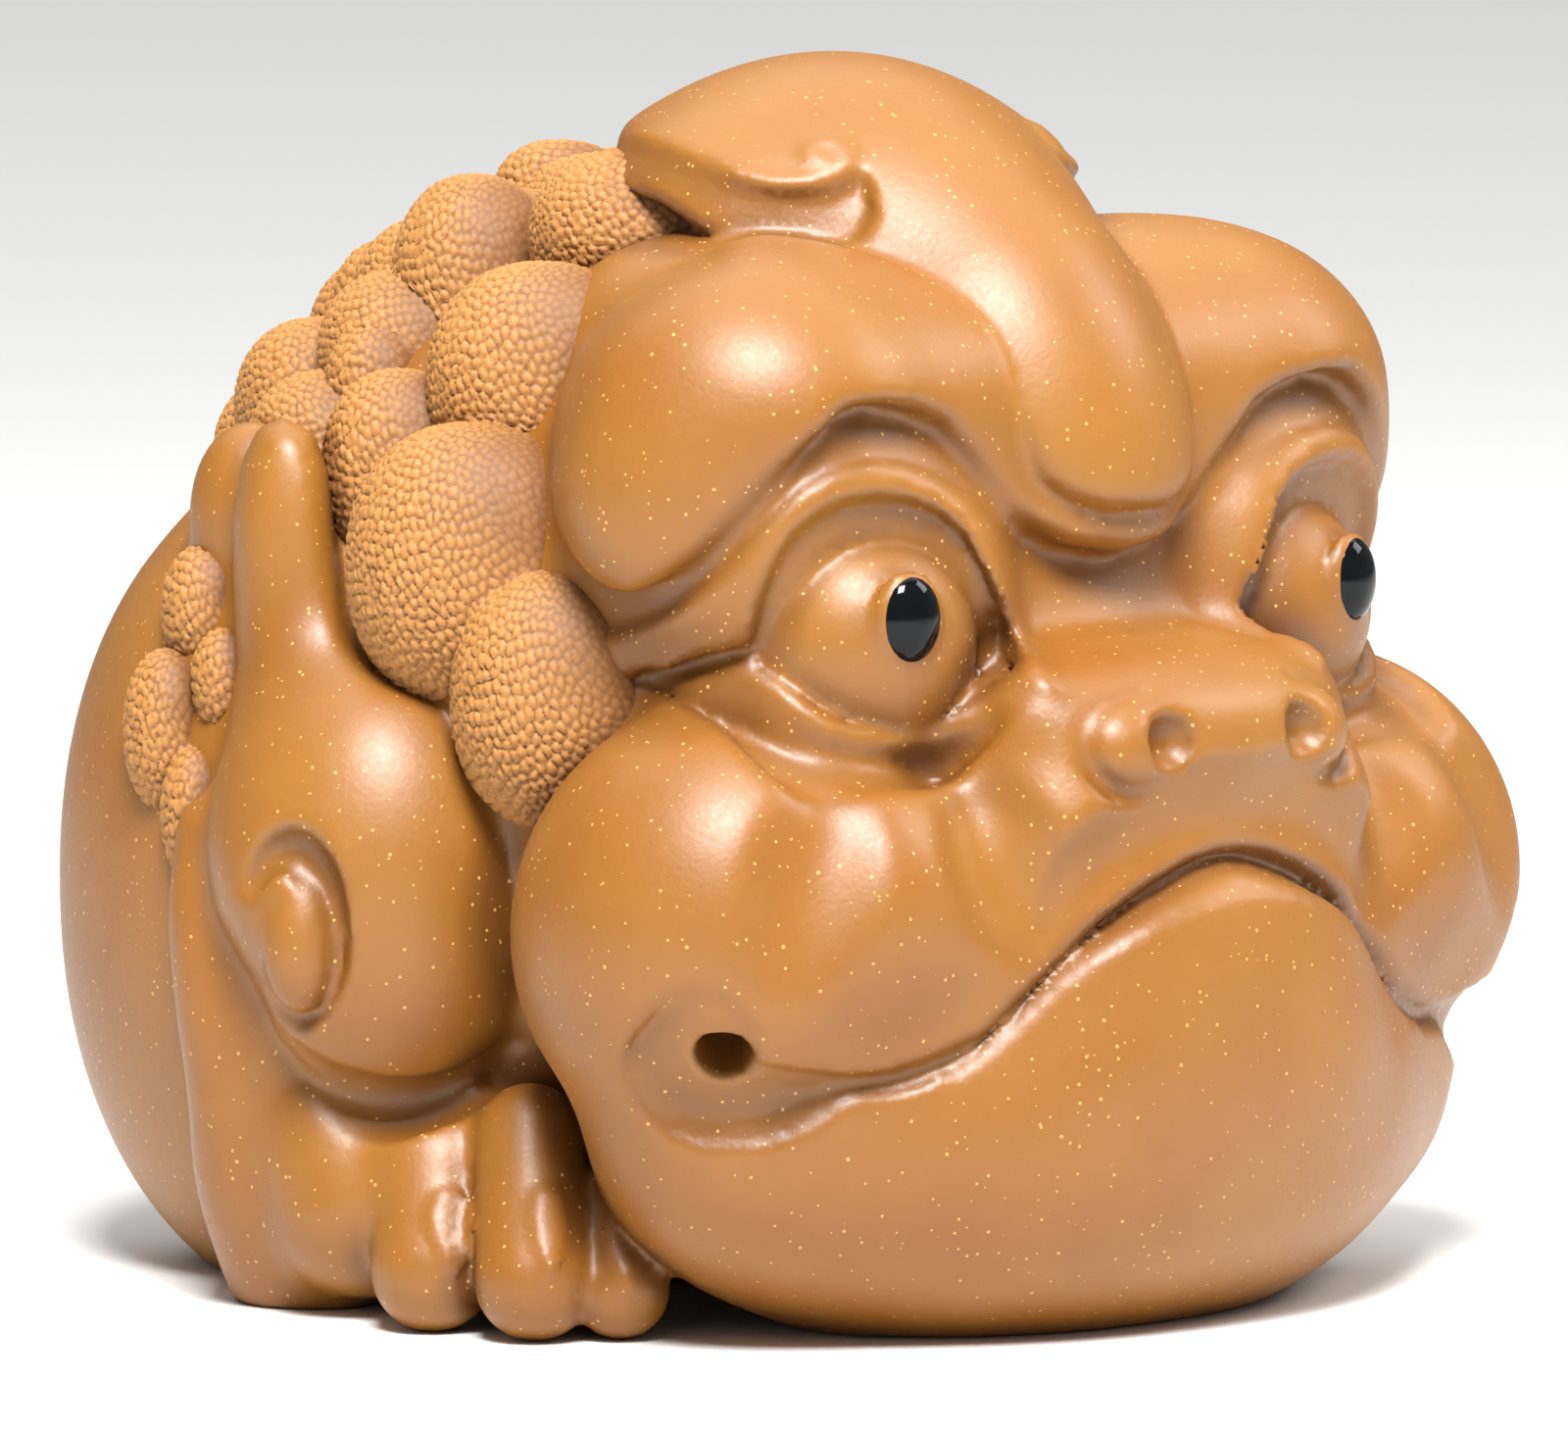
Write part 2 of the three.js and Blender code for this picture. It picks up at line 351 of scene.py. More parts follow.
edges = {
    "bowlRim": [(641, 1085), (650, 1110), (665, 1130), (686, 1149), (718, 1162), (753, 1163), (788, 1158),
                (817, 1146), (842, 1132), (862, 1114)],
    "lowerLid": [(680, 697), (702, 697), (727, 689), (752, 686), (775, 691), (796, 705), (819, 723), (846, 741),
                 (880, 752), (915, 754), (950, 748), (978, 732), (999, 708), (1012, 690)],
    "lidInner": [(773, 655), (779, 623), (792, 588), (811, 553), (837, 531), (862, 518), (894, 513), (926, 516),
                 (955, 528), (977, 547), (996, 579), (1015, 620), (1031, 658), (1047, 687), (1062, 702)],
    "crestRidge": [(610, 136), (641, 137), (674, 147), (696, 156), (722, 166), (748, 177), (785, 185),
                   (820, 186), (850, 180), (872, 168), (884, 160)],
    "lowerLip": [(975, 1096), (1005, 1077), (1035, 1050), (1060, 1024), (1083, 1002), (1110, 982), (1140, 964),
                 (1171, 948), (1206, 930), (1236, 914), (1265, 904), (1290, 900), (1340, 896)],
}

# Tooled lines in photo pixels: points, radius in mm, lift off the surface in mm
lines = {
    "lowerLid": ([(702, 697), (727, 689), (752, 686), (775, 691), (796, 705), (819, 723), (846, 741), (880, 752),
                  (915, 754), (950, 748), (978, 732), (999, 708), (1012, 690)],
                 [0.3, 0.5, 0.65, 0.7, 0.7, 0.7, 0.7, 0.7, 0.7, 0.7, 0.75, 0.9, 0.7], -0.15),
    "canthus": ([(655, 692), (690, 683), (730, 671), (775, 662)], [0.6, 0.6, 0.6, 0.4], 0),
    "mouth": ([(771, 1100), (807, 1104), (855, 1110), (893, 1108), (930, 1100), (960, 1087), (990, 1070)],
              [0.7, 0.8, 0.8, 0.8, 0.8, 0.7, 0.5], -0.3),
    "noseCrease": ([(1166, 703), (1146, 711), (1127, 722), (1115, 741), (1111, 762), (1119, 784), (1137, 802),
                    (1160, 810), (1188, 806), (1214, 796), (1240, 790), (1265, 787), (1290, 787)],
                   [0.2, 0.5, 0.8, 0.9, 0.9, 0.9, 0.9, 0.9, 0.9, 0.8, 0.7, 0.6, 0.6],
                   [0, 0.1, 0.3, 0.4, 0.4, 0.4, 0.4, 0.4, 0.4, 0.3, 0.2, 0.2, 0.2]),
    "lipHollow": ([(1085, 935), (1130, 897), (1180, 866), (1225, 846), (1265, 840), (1290, 838)],
                  [3, 4, 4.5, 5, 5, 5], [2.4, 2.8, 3.1, 3.3, 3.3, 3.3]),
    "valleyOuter": ([(842, 838), (828, 890), (815, 945), (806, 985)], [3, 4.5, 4.5, 3], [2.5, 3.2, 3.4, 2.8]),
    "valleyInner": ([(1000, 838), (1018, 877), (1038, 915), (1055, 945)], [2.4, 3.6, 3.6, 2.4], [1.9, 2.5, 2.7, 2.2]),
    "crestCurl": ([(748, 177), (785, 185), (820, 185), (848, 178), (862, 165), (858, 151), (842, 145), (828, 152),
                   (830, 164), (842, 165)], [0.2, 0.4, 0.6, 0.8, 0.9, 0.9, 0.9, 0.9, 0.8, 0.7],
                  [-0.2, -0.35, -0.4, -0.5, -0.5, -0.5, -0.5, -0.5, -0.4, -0.3]),
    "scrollGroove": ([(256, 902), (272, 876), (298, 869), (322, 902), (335, 965), (326, 1012), (298, 1042), (268, 1022)],
                     [0.7, 1.2, 1.6, 1.7, 1.4, 1.2, 1, 0.8], -0.1),
    "wrist": ([(250, 1010), (275, 1058), (318, 1096), (370, 1118), (430, 1118), (480, 1094), (515, 1060)],
              [0.6, 1.2, 1.9, 2.3, 2, 1.4, 0.7], 0.7),
    "leg": ([(222, 850), (226, 930), (238, 1010), (258, 1100), (286, 1190), (325, 1270)],
            [2.5, 3, 3.3, 3.8, 5, 6.2], [0.5, 0.9, 1.1, 1.2, 1.4, 1]),
}


def rightSide(at):
    return (-at[0], at[1], at[2])


def mass(points, name):
    at, size, *rest = masses[name]
    return lump(points, rightSide(at), size, rest[0] if rest else 2.0)


def blend(names, seam):
    def form(points):
        d = mass(points, names[0])
        for name in names[1:]:
            d = softUnion(d, mass(points, name), seam)
        return d
    return form


# both halves are worked as the right one, with a small round-over at the middle plane
def fold(points):
    p = points.copy()
    p[:, 0] = -np.sqrt(p[:, 0] ** 2 + 0.02)
    return p


def bigMasses(p):
    body = softUnion(mass(p, "trunk"), mass(p, "haunch"), 4)
    head = mass(p, "head")
    for name, seam in (("socket", 3), ("lidBed", 3), ("lowerBed", 2), ("muzzle", 4), ("nose", 3), ("lip", 3), ("cheek", 2.5), ("flap", 3),
                       ("crown", 3)):
        head = softUnion(head, mass(p, name), seam)
    chin = softUnion(softUnion(mass(p, "jaw"), mass(p, "chin"), 4), mass(p, "lowerLip"), 3)
    return body, softUnion(head, chin, 4)


def faceForm(points):
    return bigMasses(fold(points))[1]


def trunkForm(points):
    p = fold(points)
    return softUnion(mass(p, "trunk"), mass(p, "haunch"), 4)


armForm = blend(["arm", "shoulder"], 8)
browForm = blend(["brow", "browInner", "browTail", "browTop", "browRoot", "browBridge"], 4)
capForm = blend(["cap", "capFront"], 4)
tongueForm = blend(["tongue"], 1)
beads = {"at": (-20.7, -34.2, 48.6), "radii": (2.3, 1.6, 3.0), "seat": (2.65, 1.1, 3.35), "turnOut": 12}  # mm, degrees
beadTurn = math.radians(beads["turnOut"])
beadAxes = np.array([(math.cos(beadTurn), math.sin(beadTurn), 0), (-math.sin(beadTurn), math.cos(beadTurn), 0), (0, 0, 1)])
eyeball = {"at": (-18.7, -26.8, 46.4), "radius": 8.2}
routes = {}


def ballForm(points):
    return lump(fold(points), eyeball["at"], [eyeball["radius"]] * 3)


def eyeForm(points):
    return softUnion(faceForm(points) + 1, ballForm(points), 0.5)


def layLine(name, form):
    pixels, radii, lift = lines[name]
    at = landOn(pixels, form)
    at = at + normalAt(at, form) * np.broadcast_to(np.asarray(lift, float), (len(at),))[:, None]
    r = np.broadcast_to(np.asarray(radii, float), (len(at),))
    routes[name] = curveThrough(np.column_stack([at, r]))


def spot(pixel, form, sink=0.0):
    at = landOn([pixel], form)
    return (at - normalAt(at, form) * sink)[0]


photoWays = np.stack([rightWay, upWay, backWay], 1)
scrollBall = spot((294, 967), armForm, 1.8)
for name in lines:
    if name != "leg":
        layLine(name, {"scrollGroove": armForm, "wrist": armForm, "crestCurl": capForm, "lowerLid": eyeForm}.get(name, faceForm))
cornerHole = np.array([[*spot((737, 1088), faceForm, -1), 2.1], [*spot((741, 1085), faceForm, 5), 1.7]])
innerCorner = spot((1050, 702), faceForm, 2.1)
noseBall = spot((1150, 764), faceForm, 2.2)
lipBulge = spot((918, 905), faceForm, 7.2)
muzzleBulge = spot((1108, 846), faceForm, 6.6)
nosePit = np.array([[*spot((1198, 756), faceForm, -0.9), 2.35], [*spot((1198, 756), faceForm, -0.3), 2.0]])


paw = {
    # nail outlines in photo pixels
    "nails": [
        [(464, 1312), (450, 1289), (438, 1259), (434, 1236), (444, 1214), (462, 1209), (478, 1222), (484, 1250),
         (479, 1285)],
        [(563, 1310), (550, 1283), (541, 1255), (540, 1230), (548, 1212), (562, 1207), (575, 1216), (581, 1245),
         (577, 1280)],
        [(643, 1332), (630, 1310), (620, 1287), (613, 1262), (614, 1243), (626, 1232), (640, 1236), (651, 1262),
         (654, 1295)],
    ],
    "nailRise": 0.4,  # mm
    # each toe from knuckle to tip: (out, forward, up), radius
    "toes": [((35.5, 3.8, 9.7), (38, 6.3, 4), 4.15), ((32.2, 9.6, 12.6), (36, 14.3, 4), 4.05),
             ((29.8, 14.5, 7.8), (31.5, 17.8, 3.3), 3.3)],
    "hand": ((-32.3, -0.8, 8.6), (8.2, 8.2, 8)),
    "foreArm": [(-39, 8, 26, 4.5), (-38, 7, 15, 5), (-36, 3, 8, 7)],
}


def toesForm(points):
    d = np.full(len(points), 60.0)
    for a, b, r in paw["toes"]:
        a, b = np.array([-a[0], -a[1], a[2]]), np.array([-b[0], -b[1], b[2]])
        t = np.clip((points - a) @ (b - a) / ((b - a) @ (b - a)), 0, 1)
        gap = np.linalg.norm(points - a - t[:, None] * (b - a), axis=1) - r * (0.95 + 0.05 * t)
        d = softUnion(d, gap, 0.6)
    return d


def pawForm(points):
    return softUnion(lump(points, *paw["hand"]), toesForm(points), 1.4)


layLine("leg", trunkForm)


def toadField(points):
    p = fold(points)
    body, d = bigMasses(p)
    # eyes
    face = ((-45, -50, 30), (5, 5, 72))
    d = pareDown(p, d, faceForm, outlines["underEye"], edges["lowerLid"], [(0, 0), (1.5, 0.9), (3.5, 1.8), (5, 1.8)],
                 0.7, *face)
    d = padOf(p, d, lambda q: faceForm(q) - 0.9, {"photo": (outlines["upperLid"], 1.3)}, 0.5, *face)
    d = pareDown(p, d, faceForm, outlines["eyeOpening"], edges["lidInner"], [(0, 0.3), (2.6, 1.4), (4, 2.2)], 1.2, *face)
    d = padOf(p, d, ballForm, {"photo": (outlines["ballShown"], 0.3)}, 0.2, *face)
    d = dab(p, d, beads["at"], beads["seat"], 0.2, axes=beadAxes)
    d = dab(p, d, innerCorner, (2.8, 2.8, 2.8), 1.5)
    d = coil(p, d, routes["lowerLid"], 0.4)
    d = coil(p, d, routes["canthus"], 0.3, cut=True)
    # muzzle and mouth
    d = dab(p, d, lipBulge, (8, 8, 8.5), 3)
    d = dab(p, d, muzzleBulge, (7.4, 7.4, 7.4), 3)
    d = coil(p, d, routes["valleyOuter"], 2.5, cut=True)
    d = coil(p, d, routes["valleyInner"], 2, cut=True)
    d = coil(p, d, routes["lipHollow"], 1.5, cut=True)
    jaws = ((-45, -52, 5), (5, 0, 50))
    d = pareDown(p, d, faceForm, outlines["mouthGap"], edges["lowerLip"], [(0, 0), (1, 1.1), (2.2, 2.4), (4, 2.9)], 0.9, *jaws)
    d = pareDown(p, d, faceForm, outlines["cornerBowl"], edges["bowlRim"],
                 [(0, 0.5), (1.5, 1.3), (3.5, 1.3), (6.5, 0)], 1.6, *jaws)
    d = coil(p, d, routes["mouth"], 0.5, cut=True)
    d = coil(p, d, cornerHole, 0.5, cut=True)
    d = coil(p, d, routes["noseCrease"], 0.8, cut=True)
    d = dab(p, d, noseBall, (3.1, 3.1, 2.7), 1.2)
    d = coil(p, d, nosePit, 0.4, cut=True)
    # brows, forehead tongue, crest
    brows = ((-45, -50, 40), (5, 5, 84))
    d = padOf(p, d, browForm, {"front": (frontOutlines["brow"], 1.5), "photo": (outlines["outerBrow"], 3.5)}, 1.6, *brows)
    top = ((-30, -45, 50), (5, 25, 92))
    cap = padOf(p, np.full(len(p), 9.0), capForm, {"photo": (outlines["crest"], 1)}, 0.1, *top)
    cap = pareDown(p, cap, capForm, outlines["crestFacet"], edges["crestRidge"], [(0, 0.2), (1.2, 1), (4, 1.9)], 0.5, *top)
    cap = coil(p, cap, routes["crestCurl"], 0.7)
    tongue = padOf(p, np.full(len(p), 9.0), tongueForm, {"front": (frontOutlines["tongue"], 1.5)}, 0.1, *top)
    d = softUnion(d, softUnion(cap, tongue, 3), 0.5)
    body = softUnion(body, d, 1.5)
    # front leg
    body = softUnion(body, mass(p, "shoulderBack"), 2.5)
    body = coil(p, body, np.array(paw["foreArm"], float), 2)
    body = padOf(p, body, armForm, {"photo": (outlines["arm"], 2.4)}, 0.7, (-52, -20, 10), (-15, 30, 70))
    body = coil(p, body, routes["scrollGroove"], 0.6, cut=True)
    body = dab(p, body, scrollBall, (2.7, 4.8, 2.6), 0.15, axes=photoWays)
    body = coil(p, body, routes["leg"], 1.5)
    low, high = (-52, -30, -6), (-18, 12, 26)
    i = nearBox(p, np.array(low, float), np.array(high, float))
    if len(i):
        body[i] = softUnion(body[i], pawForm(p[i]), 0.8)
    body = coil(p, body, routes["wrist"], 0.7, cut=True)
    for outline in paw["nails"]:
        body = padOf(p, body, lambda q: pawForm(q) - paw["nailRise"], {"photo": (outline, 0.3)}, 0.1, low, high)
    return np.maximum(body, -points[:, 2])


# Distances on a grid: a coarse pass finds the skin, a fine pass samples only near it, one half mirrored
def sampleGrid(field, low, high, fine, coarse=4):
    steps = [int(math.ceil(s / (fine * coarse))) * coarse for s in (-low[0], high[1] - low[1], high[2] - low[2])]
    start = np.array([-steps[0] * fine, low[1], low[2]])
    axes = [start[k] + np.arange(0, steps[k] + 1, coarse) * fine for k in range(3)]
    rough = field(np.stack(np.meshgrid(*axes, indexing="ij"), -1).reshape(-1, 3))
    rough = rough.reshape([len(a) for a in axes]).astype(np.float32)
    pick = [np.minimum((np.arange(n + 1) + coarse // 2) // coarse, n // coarse) for n in steps]
    grid = rough[np.ix_(*pick)].copy()
    near = np.abs(rough) < 1.3 * coarse * fine
    cell = np.zeros([n // coarse for n in steps], bool)
    for i, j, k in np.ndindex(2, 2, 2):
        cell |= near[i:i + cell.shape[0], j:j + cell.shape[1], k:k + cell.shape[2]]
    corners = np.argwhere(cell) * coarse
    marked = np.zeros(grid.shape, bool)
    for i, j, k in np.ndindex(coarse + 1, coarse + 1, coarse + 1):
        marked[corners[:, 0] + i, corners[:, 1] + j, corners[:, 2] + k] = True
    index = np.argwhere(marked)
    value = np.empty(len(index), np.float32)
    for s in range(0, len(index), 400000):
        value[s:s + 400000] = field(start + index[s:s + 400000] * fine)
    grid[index[:, 0], index[:, 1], index[:, 2]] = value
    return np.concatenate([grid, grid[-2::-1]], 0), start


# One vertex in each cell that the skin crosses, one quad for each crossed edge
def skinOf(grid, start, fine):
    inside = grid < 0
    nx, ny, nz = [n - 1 for n in grid.shape]
    count = np.zeros((nx, ny, nz), np.int8)
    for i, j, k in np.ndindex(2, 2, 2):
        count += inside[i:nx + i, j:ny + j, k:nz + k]
    cells = np.argwhere((count > 0) & (count < 8))
    number = -np.ones(count.shape, np.int32)
    number[cells[:, 0], cells[:, 1], cells[:, 2]] = np.arange(len(cells))
    total, hits = np.zeros((len(cells), 3)), np.zeros(len(cells))
    for corner in np.ndindex(2, 2, 2):
        for axis in range(3):
            if corner[axis]:
                continue
            other = list(corner)
            other[axis] = 1
            va = grid[tuple((cells + corner).T)].astype(float)
            vb = grid[tuple((cells + other).T)].astype(float)
            crossed = (va < 0) != (vb < 0)
            point = np.tile(np.array(corner, float), (len(cells), 1))
            point[:, axis] = np.where(crossed, va / np.where(crossed, va - vb, 1), 0)
            total[crossed] += point[crossed]
            hits[crossed] += 1
    verts = start + (cells + total / hits[:, None]) * fine
    quads = []
    for axis, (u, v) in enumerate(((1, 2), (2, 0), (0, 1))):
        first, second = [slice(None)] * 3, [slice(None)] * 3
        first[axis], second[axis] = slice(0, -1), slice(1, None)
        edge = np.argwhere(inside[tuple(first)] != inside[tuple(second)])
        edge = edge[(edge[:, u] > 0) & (edge[:, v] > 0) & (edge[:, u] < grid.shape[u] - 1) & (edge[:, v] < grid.shape[v] - 1)]
        ring = []
        for du, dv in ((1, 1), (0, 1), (0, 0), (1, 0)):
            at = edge.copy()
            at[:, u] -= du
            at[:, v] -= dv
            ring.append(number[tuple(at.T)])
        ring = np.stack(ring, 1)
        flip = ~inside[tuple(edge.T)]
        ring[flip] = ring[flip][:, ::-1]
        quads.append(ring)
    return verts, np.vstack(quads)


def meshObject(name, verts, faces):
    mesh = bpy.data.meshes.new(name)
    mesh.vertices.add(len(verts))
    mesh.vertices.foreach_set("co", (np.asarray(verts) * mm).astype(np.float32).ravel())
    sides = faces.shape[1]
    mesh.loops.add(faces.size)
    mesh.loops.foreach_set("vertex_index", faces.astype(np.int32).ravel())
    mesh.polygons.add(len(faces))
    mesh.polygons.foreach_set("loop_start", np.arange(0, faces.size, sides, dtype=np.int32))
    mesh.update(calc_edges=True)
    mesh.validate()
    mesh.shade_smooth()
    piece = bpy.data.objects.new(name, mesh)
    bpy.context.scene.collection.objects.link(piece)
    return piece


def applyModifiers(piece):
    evaluated = piece.evaluated_get(bpy.context.evaluated_depsgraph_get())
    mesh = bpy.data.meshes.new_from_object(evaluated)
    old = piece.data
    piece.modifiers.clear()
    piece.data = mesh
    mesh.name = old.name
    bpy.data.meshes.remove(old)


def pointsOf(piece):
    co = np.empty(len(piece.data.vertices) * 3, np.float32)
    piece.data.vertices.foreach_get("co", co)
    return co.reshape(-1, 3).astype(float) / mm


def normalsOf(piece):
    co = np.empty(len(piece.data.vertices) * 3, np.float32)
    piece.data.vertices.foreach_get("normal", co)
    return co.reshape(-1, 3).astype(float)


def storeValue(piece, name, values):
    layer = piece.data.attributes.new(name, "FLOAT", "POINT")
    layer.data.foreach_set("value", np.asarray(values, np.float32))


bodySkin = {
    "gridStep": 0.5,  # mm
    "triangles": 196000,
    "relax": (0.5, 2),  # strength and passes of smoothing that takes the grid's steps out of the skin
    "paintedShadeReach": 3.0,  # mm out from the skin at which a hollow is felt, for the painted shade in the hollows
}


def makeBody():
    grid, start = sampleGrid(toadField, (-52, -54, -2), (52, 56, 92), bodySkin["gridStep"])
    verts, quads = skinOf(grid, start, bodySkin["gridStep"])
    report(f"skin of {len(verts)} points")
    body = meshObject("toad_clay", verts, quads)
    relax = body.modifiers.new("relaxed", "SMOOTH")
    relax.factor, relax.iterations = bodySkin["relax"]
    applyModifiers(body)
    if len(quads) * 2 > bodySkin["triangles"]:
        decimate = body.modifiers.new("fewer", "DECIMATE")
        decimate.ratio = bodySkin["triangles"] / (len(quads) * 2)
        applyModifiers(body)
        body.data.shade_smooth()
    points, normals = pointsOf(body), normalsOf(body)
    # painted shade: near 1 where other clay lies a short way out along the normal, stored for the material to darken
    # the hollows
    reach = bodySkin["paintedShadeReach"]
    paintedShade = 1 - toadField(points + normals * reach) / reach
    storeValue(body, "paintedShade", np.clip(paintedShade, 0, 1))
    report(f"body decimated to {len(body.data.polygons)} faces")
    return body


# Warts: down the side by centre pixel, half width and height in pixels, lift in mm, then over
# the hidden back by degrees round from the front, degrees up and radius in mm
warts = {
    "pebble": (0.82, 0.56),  # mm between pebbles along and across the rows
    "relief": 0.42,  # mm
    "sunk": 1.9,  # mm that the centres of the back's warts lie under the skin
    "gridStep": 0.4,  # mm, halved once by subdivision
    "side": [
        ((574, 189), (66, 50), 0.4), ((684, 250), (132, 86), 1.6), ((480, 285), (80, 112), 0), ((553, 384), (110, 114), 0.3),
        ((390, 300), (52, 62), 0), ((376, 392), (48, 66), 0), ((301, 392), (40, 60), 0), ((400, 472), (72, 95), 0),
        ((476, 572), (118, 134), 0), ((562, 712), (96, 120), 0), ((202, 615), (40, 60), 0), ((222, 690), (30, 48), 0),
        ((162, 742), (40, 76), 0), ((190, 828), (30, 62), 0),
    ],
    "back": [
        (180, 74, 6), (180, 56, 6.4), (180, 38, 6.2), (180, 21, 5.6), (160, 65, 6), (158, 47, 6.2), (156, 30, 6),
        (158, 13, 5), (140, 76, 5.8), (137, 57, 6), (134, 40, 6), (118, 66, 5.8), (116, 50, 5.8),
        (113, 36, 5.4),
    ],
}


def wartBalls():
    scale = photo["pixelsPerMm"]
    balls = []
    for pixel, half, lift in warts["side"]:
        across, tall = 1.04 * np.array(half, float) / scale
        balls.append((spot(pixel, trunkForm, 1 - lift), (across, tall, max(across, tall) * 0.68)))
    middlePoint = np.array(masses["trunk"][0], float)
    for turn, up, radius in warts["back"]:
        turn, up = np.radians([turn, up])
        way = np.array([-math.sin(turn) * math.cos(up), -math.cos(turn) * math.cos(up), math.sin(up)])
        at = middlePoint + way * 60
        for _ in range(60):
            at = at - way * (trunkForm(at[None])[0] + warts["sunk"])
        balls.append((at, (radius, radius, radius)))
    return balls


wartList = wartBalls()


# nearest wart and the distance to the whole pillowed skin
def wartField(points, which=False):
    p = fold(points)
    d = np.full(len(p), 9.0)
    owner = np.zeros(len(p), np.int32)
    for k, (at, size) in enumerate(wartList):
        i = nearBox(p, at - max(size) - 3, at + max(size) + 3)
        if not len(i):
            continue
        e = lump(p[i], at, size, 2.2, photoWays)
        closer = e < d[i]
        owner[i[closer]] = k
        d[i] = softUnion(d[i], e, 0.25)
    return (d, owner) if which else d


# height 0 to 1 of the pebbles, set in staggered rings round a pole on each wart
def pebbleHeight(points, owner):
    p = fold(points)
    pole = np.array([0.55, 0.5, 0.65]) / np.linalg.norm([0.55, 0.5, 0.65])
    east = np.cross((0.3, 0.2, 1.0), pole)
    east /= np.linalg.norm(east)
    north = np.cross(pole, east)
    height = np.zeros(len(p))
    for k, (at, size) in enumerate(wartList):
        i = np.nonzero(owner == k)[0]
        if not len(i):
            continue
        n = ((p[i] - at) @ photoWays) / np.array(size)
        n /= np.linalg.norm(n, axis=1, keepdims=True)
        radius = float(np.mean(size))
        theta = np.arccos(np.clip(n @ pole, -1, 1))
        phi = np.arctan2(n @ north, n @ east)
        along, across = np.array(warts["pebble"]) / radius
        pitch = across
        ring = np.round(theta / pitch)
        first = np.full(len(i), 9.0)
        second = np.full(len(i), 9.0)
        for up in (-1, 0, 1):
            r = ring + up
            count = np.maximum(np.round(2 * math.pi * np.sin(np.clip(r * pitch, 0, math.pi)) / along), 3)
            turn = 2 * math.pi / count
            shift = np.mod(np.sin(r * 12.9 + k * 7.3) * 43.7, 1)
            cell = np.round(phi / turn - shift)
            for step in (-1, 0, 1):
                c = np.mod(cell + step, count)
                nudge = np.mod(np.sin(r * 78.2 + c * 37.7 + k) * 437.5, 1) - 0.5
                nudge2 = np.mod(np.sin(r * 19.1 + c * 91.3 + k) * 271.9, 1) - 0.5
                away = np.mod((cell + step + shift + 0.6 * nudge) * turn - phi + math.pi, 2 * math.pi) - math.pi
                dx = away * np.sin(theta) * across / along * radius
                dy = ((r + 0.5 * nudge2) * pitch - theta) * radius
                gap = np.sqrt(dx * dx + dy * dy)
                second = np.minimum(second, np.maximum(first, gap))
                first = np.minimum(first, gap)
        dome = np.clip((second - first) / (0.6 * warts["pebble"][1]), 0, 1)
        strength = np.clip((theta - 0.3) / 1.1, 0.15, 1)
        height[i] = (1 - (1 - dome) ** 2) * strength
    return height


def makeWarts():
    fine = warts["gridStep"]
    grid, start = sampleGrid(wartField, (-52, -34, 8), (52, 56, 88), fine)
    verts, quads = skinOf(grid, start, fine)
    shown = toadField(verts) > -1.3
    quads = quads[shown[quads].any(1)]
    owner = wartField(verts, True)[1]
    group = np.where(owner[quads[:, 0]] < len(warts["side"]), 0, 1) * 2 + (verts[quads[:, 0], 0] > 0)
    pieces = []
    for k, name in enumerate(("warts_right", "warts_left", "warts_back_right", "warts_back_left")):
        faces = quads[group == k]
        used, index = np.unique(faces, return_inverse=True)
        piece = meshObject(name, verts[used], index.reshape(faces.shape))
        piece.modifiers.new("finer", "SUBSURF").levels = 1
        applyModifiers(piece)
        points, normals = pointsOf(piece), normalsOf(piece)
        height = pebbleHeight(points, wartField(points, True)[1])
        moved = points + normals * (height * warts["relief"])[:, None]
        piece.data.vertices.foreach_set("co", (moved * mm).astype(np.float32).ravel())
        piece.data.update()
        piece.data.shade_smooth()
        # painted shade: near 1 where warts or body lie a short way out along the normal, stored for the material to
        # darken the hollows
        reach = 1.5
        hollow = np.minimum(wartField(points + normals * reach), toadField(points + normals * reach))
        storeValue(piece, "pebble", height)
        storeValue(piece, "paintedShade", np.clip(1 - hollow / reach, 0, 1))
        pieces.append(piece)
        report(f"{name} {len(piece.data.polygons)} faces")
    return pieces


def makeBead(name, side):
    bm = bmesh.new()
    bmesh.ops.create_uvsphere(bm, u_segments=64, v_segments=40, radius=1)
    place = Matrix.Translation(Vector([side * -beads["at"][0], beads["at"][1], beads["at"][2]]) * mm)
    place = place @ Matrix.Rotation(math.radians(side * beads["turnOut"]), 4, "Z")
    bm.transform(place @ Matrix.Diagonal([r * mm for r in beads["radii"]] + [1]))
    mesh = bpy.data.meshes.new(name)
    bm.to_mesh(mesh)
    bm.free()
    mesh.shade_smooth()
    piece = bpy.data.objects.new(name, mesh)
    bpy.context.scene.collection.objects.link(piece)
    return piece


# Materials
def toLinear(code):
    part = [int(code[i:i + 2], 16) / 255 for i in (1, 3, 5)]
    return tuple(c / 12.92 if c <= 0.04045 else ((c + 0.055) / 1.055) ** 2.4 for c in part) + (1.0,)


# adds one node with its settings; a setting that is another node's socket is linked
def node(tree, kind, settings=None, **inputs):
    made = tree.nodes.new(kind)
    for key, value in (settings or {}).items():
        setattr(made, key, value)
    for key, value in inputs.items():
        socket = made.inputs[int(key[1:])] if key[0] == "i" and key[1:].isdigit() else made.inputs[key.replace("_", " ")]
        if isinstance(value, bpy.types.NodeSocket):
            tree.links.new(value, socket)
        else:
            socket.default_value = value
    return made


def newMaterial(name):
    material = bpy.data.materials.new(name)
    material.use_nodes = True
    material.node_tree.nodes.clear()
    return material, material.node_tree


